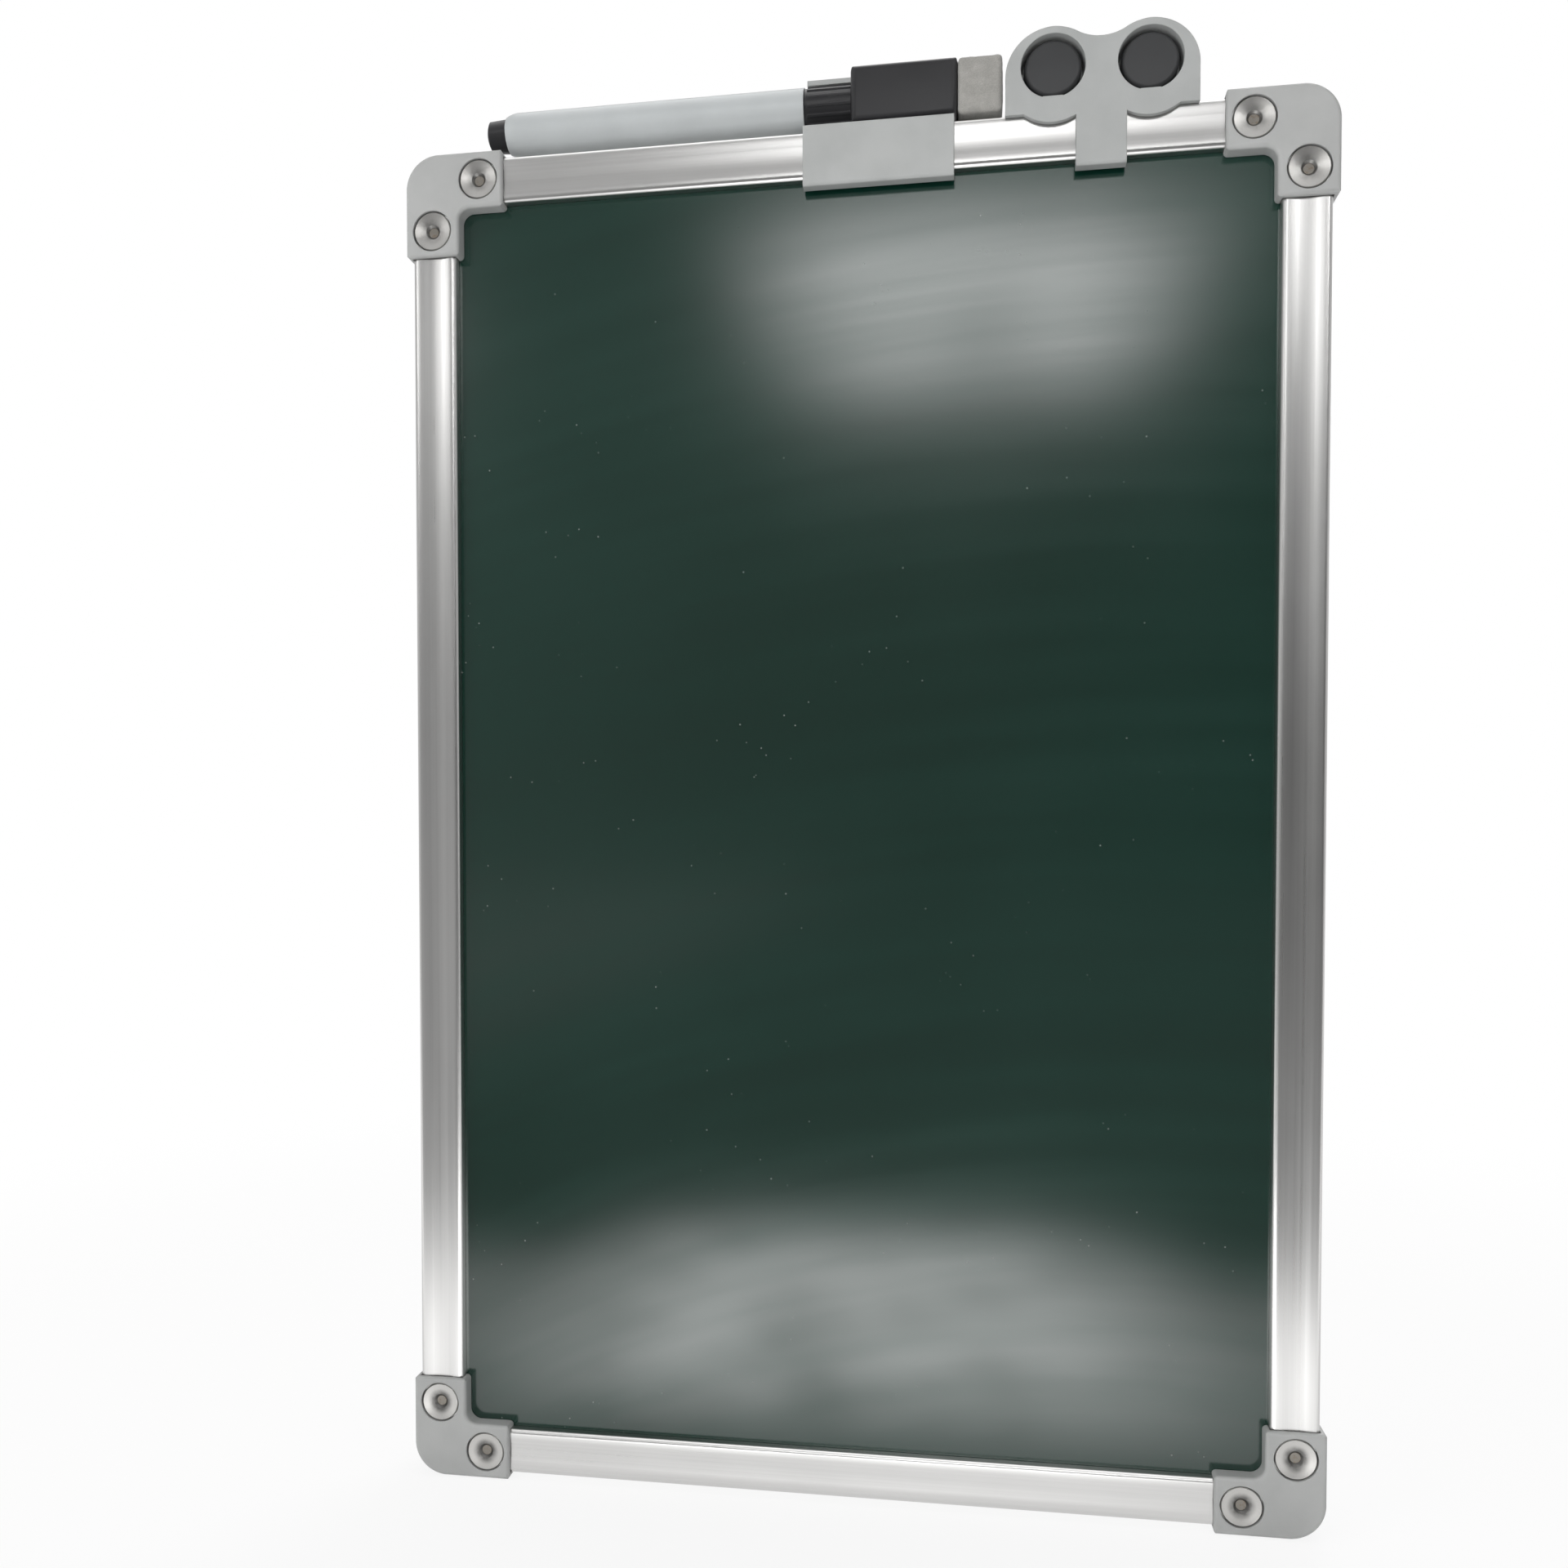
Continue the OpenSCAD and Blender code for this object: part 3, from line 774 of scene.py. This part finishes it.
@dataclass(frozen=True)
class PressedBoard(Finish):
    """Grey-brown pressed board of the panel's core."""

    colour: Colour = (0.46, 0.36, 0.25)
    dark: float = 0.7
    roughness: float = 0.9
    chip_scale: float = 500.0
    chip_band: tuple[float, float] = (0.1, 0.7)
    chip_share: float = 0.5
    fibres: Grain = Grain((900.0, 3000.0, 500.0), 3.0)
    fibre_share: float = 0.4
    fibre_depth: float = 0.05 * MM

    def shade(self, g: Graph) -> None:
        """Adds chips and fibres.

        Args:
            g: The material's graph.
        """
        place = g.coords()
        chips = g.cells(place, self.chip_scale).step(*self.chip_band)
        fibres = g.grain(place, self.fibres)
        tone = chips * self.chip_share + fibres * self.fibre_share
        g.principled({
            "Base Color": g.mix(tone, shade_of(self.colour, self.dark), self.colour),
            "Roughness": self.roughness,
            "Normal": g.relief(fibres, self.fibre_depth),
        })


class RoundShading:
    """Modifier that shades the solids' curved faces smoothly and keeps their sharp edges."""

    def __init__(self, angle: float = math.radians(32), weld: float = 0.001 * MM) -> None:
        """Builds the node group that all pieces share.

        Args:
            angle: The bend up to which an edge is smooth.
            weld: The distance within which points are joined.
        """
        self.group = bpy.data.node_groups.new("round_shading", "GeometryNodeTree")
        for side in ("INPUT", "OUTPUT"):
            self.group.interface.new_socket("Geometry", in_out=side, socket_type="NodeSocketGeometry")
        nodes, links = self.group.nodes, self.group.links
        start, end = nodes.new("NodeGroupInput"), nodes.new("NodeGroupOutput")
        merge = nodes.new("GeometryNodeMergeByDistance")
        merge.inputs["Distance"].default_value = weld
        bend = nodes.new("GeometryNodeInputMeshEdgeAngle")
        low = nodes.new("FunctionNodeCompare")
        low.data_type, low.operation = "FLOAT", "LESS_EQUAL"
        low.inputs[1].default_value = angle
        edges, faces = (nodes.new("GeometryNodeSetShadeSmooth") for _ in range(2))
        edges.domain, faces.domain = "EDGE", "FACE"
        links.new(start.outputs[0], merge.inputs["Geometry"])
        links.new(merge.outputs[0], edges.inputs["Geometry"])
        links.new(bend.outputs["Unsigned Angle"], low.inputs[0])
        links.new(low.outputs[0], edges.inputs["Shade Smooth"])
        links.new(edges.outputs[0], faces.inputs["Geometry"])
        links.new(faces.outputs[0], end.inputs[0])

    def put_on(self, piece: bpy.types.Object) -> None:
        """Adds the modifier to a piece."""
        piece.modifiers.new("round_shading", "NODES").node_group = self.group


def link(made: bpy.types.Object) -> bpy.types.Object:
    """Puts an object into the scene and returns it."""
    bpy.context.scene.collection.objects.link(made)
    return made


def piece_from(bm: bmesh.types.BMesh, name: str) -> bpy.types.Object:
    """Turns a finished bmesh into an object in the scene.

    Args:
        bm: The bmesh, which is freed.
        name: The object's name.

    Returns:
        The object.
    """
    mesh = bpy.data.meshes.new(name)
    bm.to_mesh(mesh)
    bm.free()
    return link(bpy.data.objects.new(name, mesh))


def aimed(place: Vector, target: Vector) -> Matrix:
    """Returns the matrix of a camera or lamp at a place that looks at a target."""
    turn = (target - place).to_track_quat("-Z", "Y").to_matrix().to_4x4()
    return Matrix.Translation(place) @ turn


@dataclass
class Assembly:
    """A sub-assembly of the board: its pieces and the finishes that they take."""

    rounding: RoundShading

    def finishes(self) -> dict[str, Finish]:
        """Returns the finish of each solid, by its node's name."""
        raise NotImplementedError

    def build(self) -> None:
        """Makes the pieces that the solids leave to this script."""

    def dress(self) -> None:
        """Gives each solid its finish and smooth shading, and reports it."""
        made: dict[str, bpy.types.Material] = {}
        for node, finish in self.finishes().items():
            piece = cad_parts[node]
            if finish.name not in made:
                made[finish.name] = finish.material()
            piece.data.materials.clear()
            piece.data.materials.append(made[finish.name])
            self.rounding.put_on(piece)
            log.info("%s: %s", node, finish.name)


@dataclass
class WritingPanel(Assembly):
    """The panel: two coated sheets on a pressed board."""

    green: Colour = (0.0008, 0.0205, 0.0125)
    green_haze: Colour = (0.004, 0.036, 0.025)
    white: Colour = (0.82, 0.82, 0.805)
    white_haze: Colour = (0.66, 0.67, 0.68)

    def finishes(self) -> dict[str, Finish]:
        """Chooses the two writing coats and the board between them.

        Returns:
            The finish of each solid, by its node's name.
        """
        return {
            "green_face_sheet": CoatedSteel(
                "green_writing_coat", self.green, self.green_haze, roughness=0.13, haze_share=0.8),
            "white_back_sheet": CoatedSteel(
                "white_writing_coat", self.white, self.white_haze, roughness=0.16, haze_share=0.7),
            "core_panel": PressedBoard("pressed_board"),
        }


@dataclass
class RailFrame(Assembly):
    """The four aluminium rails, each with its lines along its own length."""

    def finishes(self) -> dict[str, Finish]:
        """Chooses one extruded finish for each direction.

        Returns:
            The finish of each solid, by its node's name.
        """
        level = Extrusion("level_rail", Axis.X)
        upright = Extrusion("upright_rail", Axis.Z)
        return {"top_rail": level, "bottom_rail": level, "left_rail": upright, "right_rail": upright}


@dataclass
class CornerSet(Assembly):
    """The moulded corners with their blind rivets."""

    grey: Colour = display(175, 176, 175)
    rivet_line: float = 6.2 * MM
    rivet_along: float = 17.0 * MM

    def finishes(self) -> dict[str, Finish]:
        """Chooses the corners' grey, and the rivets' metal ringed about their axes.

        Returns:
            The finish of each solid, by its node's name.
        """
        _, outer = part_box("corner_top_right")
        middle = outer.z / 2
        centres = ((outer.x - self.rivet_line, middle - self.rivet_along),
                   (outer.x - self.rivet_along, middle - self.rivet_line))
        grey = MouldedPlastic("corner_grey", self.grey, roughness=0.46)
        corners = [f"corner_{level}_{side}" for level in ("top", "bottom") for side in ("left", "right")]
        return {
            **{corner: grey for corner in corners},
            "corner_rivets": RivetMetal("rivet_flange", centres, middle),
            "rivet_mandrels": BrokenSteel("rivet_pin"),
        }


@dataclass
class EraserMarker(Assembly):
    """The marker in its clip, with the felt pad on the end of its cap.

    Attributes:
        pad_inset: Room between the pad and its solid's faces.
        pad_crown: Height of the crown on each face.
        pad_waist: Share by which the sides are drawn in halfway.
        pad_swell: How fast the pad swells away from the cap.
        fine_fuzz: Share of the finer fuzz.
    """

    clip_grey: Colour = display(174, 176, 175)
    barrel_grey: Colour = display(189, 193, 194)
    black: Colour = (0.018, 0.018, 0.02)
    liner_grey: Colour = (0.66, 0.66, 0.64)
    nib_black: Colour = (0.03, 0.03, 0.03)
    nib_ink: Colour = (0.006, 0.006, 0.008)
    pad_inset: float = 0.22 * MM
    pad_edge: float = 0.9 * MM
    pad_edge_steps: int = 3
    pad_cuts: int = 22
    pad_crown: float = 0.2 * MM
    pad_waist: float = 0.012
    pad_swell: float = 6.0
    pad_fuzz: float = 0.07 * MM
    fuzz_size: float = 1.1 * MM
    fine_fuzz: float = 0.4
    fine_fuzz_size: float = 0.35 * MM

    def finishes(self) -> dict[str, Finish]:
        """Chooses the plastics and fibres of the marker, its cap and its clip.

        Returns:
            The finish of each solid, by its node's name.
        """
        # The black plastic takes a strong painted highlight along its edges
        black = MouldedPlastic(
            "black_plastic", self.black, roughness=0.36, edge_highlight_tone=2.2, pit_depth=0.004 * MM)
        return {
            "marker_clip": MouldedPlastic("clip_grey", self.clip_grey, roughness=0.4),
            "marker_barrel": MouldedPlastic(
                "barrel_grey", self.barrel_grey, roughness=0.32, pit_depth=0.003 * MM, flow=Axis.X),
            "marker_end_plug": black,
            "marker_nose": black,
            "marker_cap": black,
            "marker_reservoir": MattedFibre("ink_fibre"),
            "marker_nib": MattedFibre("nib_fibre", self.nib_black, stain=self.nib_ink),
            "cap_seal": MouldedPlastic("cap_liner", self.liner_grey, roughness=0.5),
        }

    def pad_block(self, size: Vector) -> bmesh.types.BMesh:
        """Makes a block with rounded edges and a fine grid on its faces.

        Args:
            size: The block's size.

        Returns:
            The block, with its middle at the origin.
        """
        bm = bmesh.new()
        bmesh.ops.create_cube(bm, size=1.0)
        bmesh.ops.scale(bm, vec=size, verts=bm.verts)
        bmesh.ops.bevel(bm, geom=bm.edges[:], offset=self.pad_edge, offset_type="OFFSET", affect="EDGES",
                        segments=self.pad_edge_steps, profile=0.5, material=-1)
        long_edges = [edge for edge in bm.edges if edge.calc_length() > 2 * self.pad_edge]
        bmesh.ops.subdivide_edges(bm, edges=long_edges, cuts=self.pad_cuts, use_grid_fill=True)
        bmesh.ops.triangulate(bm, faces=[face for face in bm.faces if len(face.verts) > 4])
        bmesh.ops.recalc_face_normals(bm, faces=bm.faces[:])
        bm.normal_update()
        return bm

    def soften(self, bm: bmesh.types.BMesh, size: Vector) -> None:
        """Crowns the block's faces, draws in its sides and roughens it, but not where the cap holds it.

        Args:
            bm: The block.
            size: Its size.
        """
        half = size / 2
        for vert in bm.verts:
            free = (vert.co.x + half.x) / size.x
            rise = [1 - (vert.co[i] / half[i]) ** 2 for i in range(3)]
            crown = sum(abs(vert.normal[i]) * rise[(i + 1) % 3] * rise[(i + 2) % 3] for i in range(3))
            coarse = noise.noise(vert.co / self.fuzz_size)
            fine = noise.noise(vert.co / self.fine_fuzz_size)
            lift = self.pad_crown * crown + self.pad_fuzz * (coarse + self.fine_fuzz * fine)
            pull = Vector((0, -vert.co.y, -vert.co.z)) * self.pad_waist * math.sin(math.pi * free)
            vert.co += (vert.normal * lift + pull) * min(1.0, free * self.pad_swell)

    def build(self) -> None:
        """Makes the felt pad in the space of its solid."""
        low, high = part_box("eraser_felt")
        low = low + Vector((0.0, self.pad_inset, self.pad_inset))
        high = high - Vector((self.pad_inset, self.pad_inset, self.pad_inset))
        bm = self.pad_block(high - low)
        self.soften(bm, high - low)
        bmesh.ops.translate(bm, vec=(low + high) / 2, verts=bm.verts)
        pad = piece_from(bm, "felt_pad")
        pad.data.polygons.foreach_set("use_smooth", [True] * len(pad.data.polygons))
        pad.data.materials.append(PressedFelt("pressed_felt").material())
        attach(pad, "eraser_cap")
        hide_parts("eraser_felt")
        log.info("felt_pad: pressed_felt")


@dataclass
class MagnetRack(Assembly):
    """The two-lobed holder with its two button magnets."""

    holder_grey: Colour = display(174, 176, 175)
    button_black: Colour = (0.034, 0.035, 0.037)

    def finishes(self) -> dict[str, Finish]:
        """Chooses the holder's grey, the buttons' black and their ferrite discs.

        Returns:
            The finish of each solid, by its node's name.
        """
        # The buttons' edges take a painted highlight
        shell = MouldedPlastic("magnet_black", self.button_black, roughness=0.4, edge_highlight_tone=1.5)
        ferrite = SinteredFerrite("ferrite_disc")
        return {
            "magnet_holder": MouldedPlastic("holder_grey", self.holder_grey, roughness=0.42),
            "magnet_left_shell": shell,
            "magnet_right_shell": shell,
            "magnet_left_disc": ferrite,
            "magnet_right_disc": ferrite,
        }


@dataclass(frozen=True)
class SoftLamp:
    """A square lamp aimed at the board."""

    name: str
    place: tuple[float, float, float]
    size: float
    power: float
    mirrored: bool = True


@dataclass(frozen=True)
class GlowCard:
    """A glowing level card that only reflections show.

    Attributes:
        low, high: Opposite corners in X and Y.
        patches: Uneven patches for each metre.
        core: Share of its half width that doesn't fade.
    """

    name: str
    low: tuple[float, float]
    high: tuple[float, float]
    height: float
    glow: float
    patches: float
    core: float = 0.3


@dataclass
class Studio:
    """Plain white surroundings, soft light and the photograph's camera.

    Attributes:
        sky: Light of the surroundings on matt faces.
        around, horizon, ceiling: Light that reflections show around, ahead of and over the board.
        leftward: How much paler the horizon gets to the left.
        floor_glow: How white the camera sees the floor at the board's foot.
        sheen_foot, sheen_near, sheen_far, sheen_left: Light that reflections show of the floor at the
            board's foot, close before it, far ahead, and far ahead to the left.
    """

    eye: Vector = field(default_factory=lambda: Vector((0.02696, -0.30239, 0.14679)))
    aim: Vector = field(default_factory=lambda: Vector((-0.0203, -0.006, 0.13855)))
    roll: float = math.radians(-0.025)
    lens: float = 31.35
    sensor: float = 36.0
    shift: tuple[float, float] = (0.0177, 0.058)
    nearest: float = 0.01
    sky: float = 0.38
    around: float = 0.6
    horizon: float = 0.165
    leftward: float = 0.26
    ahead_from: tuple[float, float] = (0.3, 0.85)
    ceiling: float = 0.8
    ceiling_from: tuple[float, float] = (0.5, 0.8)
    floor_half: float = 4.0
    floor_drop: float = 0.2 * MM
    floor_tone: float = 0.95
    floor_glow: float = 0.86
    shadow_fade: tuple[float, float] = (0.2, 0.5)
    sheen_foot: float = 0.8
    sheen_near: float = 1.3
    sheen_far: float = 0.2
    sheen_left: float = 0.44
    sheen_rise: tuple[float, float] = (0.02, 0.09)
    sheen_fall: tuple[float, float] = (0.12, 0.21)
    sheen_side: tuple[float, float] = (0.2, 0.45)
    card_band: tuple[float, float] = (0.1, 0.6)
    middle: Vector = field(default_factory=lambda: Vector((0.0, 0.0, 0.16)))
    lamps: tuple[SoftLamp, ...] = (
        SoftLamp("key_lamp", (0.02, -1.0, 0.4), 0.4, 2.6, mirrored=False),
        SoftLamp("left_lamp", (-0.9, -0.7, 0.3), 0.7, 3.8, mirrored=False),
        SoftLamp("top_lamp", (0.0, 0.1, 1.4), 1.0, 4.4),
        SoftLamp("back_lamp", (0.4, 1.1, 0.8), 0.8, 6.0),
    )
    cards: tuple[GlowCard, ...] = (
        GlowCard("table_glow", (-0.13, -0.25), (0.12, -0.012), 0.3 * MM, 4.4, 22.0),
        GlowCard("ceiling_glow", (-0.24, -1.38), (0.29, -0.76), 0.66, 7.4, 7.0),
        GlowCard("left_glow", (-0.92, -1.12), (-0.47, -0.66), 0.66, 7.0, 4.0),
        GlowCard("right_glow", (0.28, -0.84), (0.6, -0.58), 0.66, 13.0, 4.0),
    )

    def camera(self) -> None:
        """Adds the camera, whose picture is a part of a wider one."""
        data = bpy.data.cameras.new("camera")
        data.sensor_width = self.sensor
        data.lens = self.lens
        data.shift_x, data.shift_y = self.shift
        data.clip_start = self.nearest
        made = link(bpy.data.objects.new("camera", data))
        made.matrix_world = aimed(self.eye, self.aim) @ Matrix.Rotation(self.roll, 4, "Z")
        bpy.context.scene.camera = made

    def world(self) -> None:
        """Adds a world that is white to the camera and dim ahead of the board in reflections."""
        world = bpy.data.worlds.new("studio")
        bpy.context.scene.world = world
        g = Graph(world)
        camera, glossy, clear = g.rays("Camera", "Glossy", "Transmission")
        side, depth, height = g.split(g.value("ShaderNodeTexCoord", "Generated"))
        ahead = (0 - depth).step(*self.ahead_from)
        level = self.around + ahead * (self.horizon - self.around - side * self.leftward)
        mirrored = level + height.step(*self.ceiling_from) * (self.ceiling - level)
        strength = self.sky + camera.most(clear) * (1 - self.sky) + glossy * (mirrored - self.sky)
        g.finish(g.value("ShaderNodeBackground", 0, {"Strength": strength, "Color": WHITE}))

    def light(self) -> None:
        """Adds the lamps."""
        for lamp in self.lamps:
            data = bpy.data.lights.new(lamp.name, "AREA")
            data.shape = "SQUARE"
            data.size = lamp.size
            data.energy = lamp.power
            made = link(bpy.data.objects.new(lamp.name, data))
            made.visible_glossy = lamp.mirrored
            made.matrix_world = aimed(Vector(lamp.place), self.middle)

    def sheet(
        self, name: str, low: tuple[float, float], high: tuple[float, float], height: float
    ) -> bpy.types.Object:
        """Adds a flat stage piece.

        Args:
            name: Its name.
            low, high: Opposite corners in X and Y.
            height: Its height over the origin.

        Returns:
            The piece.
        """
        bm = bmesh.new()
        bmesh.ops.create_grid(bm, x_segments=1, y_segments=1, size=0.5)
        bmesh.ops.scale(bm, vec=(high[0] - low[0], high[1] - low[1], 1.0), verts=bm.verts)
        centre = ((low[0] + high[0]) / 2, (low[1] + high[1]) / 2, height)
        bmesh.ops.translate(bm, vec=centre, verts=bm.verts)
        made = piece_from(bm, name)
        return made

    def floor(self) -> None:
        """Adds the floor, white to the camera but for a shadow, and dim far ahead in reflections."""
        half = self.floor_half
        made = self.sheet("floor", (-half, -half), (half, half), -self.floor_drop)
        g = Graph(bpy.data.materials.new("pale_floor"))
        camera, glossy = g.rays("Camera", "Glossy")
        x, y, _ = g.split(g.coords())
        ahead = 0 - y
        foot, near, far, left = (
            (level,) * 3 for level in (self.sheen_foot, self.sheen_near, self.sheen_far, self.sheen_left)
        )
        close = g.mix(ahead.step(*self.sheen_rise), foot, near)
        distant = g.mix((0 - x).step(*self.sheen_side), far, left)
        sheen = g.mix(ahead.step(*self.sheen_fall), close, distant)
        plain = g.value("ShaderNodeBsdfDiffuse", 0, {"Color": (*(self.floor_tone,) * 3, 1.0)})
        seen = camera * (span(x, y).step(*self.shadow_fade) * (1 - self.floor_glow) + self.floor_glow)
        g.finish(g.blend(glossy, g.blend(seen, plain, g.glow(WHITE)), g.glow(sheen)))
        made.data.materials.append(g.owner)

    def reflections(self) -> None:
        """Adds the cards that only reflections show."""
        for card in self.cards:
            made = self.sheet(card.name, card.low, card.high, card.height)
            made.visible_camera = made.visible_diffuse = made.visible_shadow = False
            made.visible_transmission = made.visible_volume_scatter = False
            g = Graph(bpy.data.materials.new(card.name))
            spot = g.coords()
            share = g.grain(spot, Grain(card.patches, band=self.card_band))
            for place, low, high in zip(g.split(spot), card.low, card.high):
                off = abs(place - (low + high) / 2) / ((high - low) / 2)
                share = share * (1 - off.step(card.core, 1.0))
            clear = g.value("ShaderNodeBsdfTransparent", 0)
            g.finish(g.blend(share, clear, g.glow(WHITE, card.glow)))
            made.data.materials.append(g.owner)

    def build(self) -> None:
        """Builds the whole studio."""
        bpy.context.scene.view_settings.view_transform = "Standard"
        self.camera()
        self.world()
        self.light()
        self.floor()
        self.reflections()


def main() -> None:
    """Builds the studio and dresses every sub-assembly."""
    logging.basicConfig(level=logging.INFO, format="%(name)s %(message)s")
    Studio().build()
    rounding = RoundShading()
    for kind in (WritingPanel, RailFrame, CornerSet, EraserMarker, MagnetRack):
        assembly = kind(rounding)
        assembly.build()
        assembly.dress()


if __name__ == "__main__":
    main()
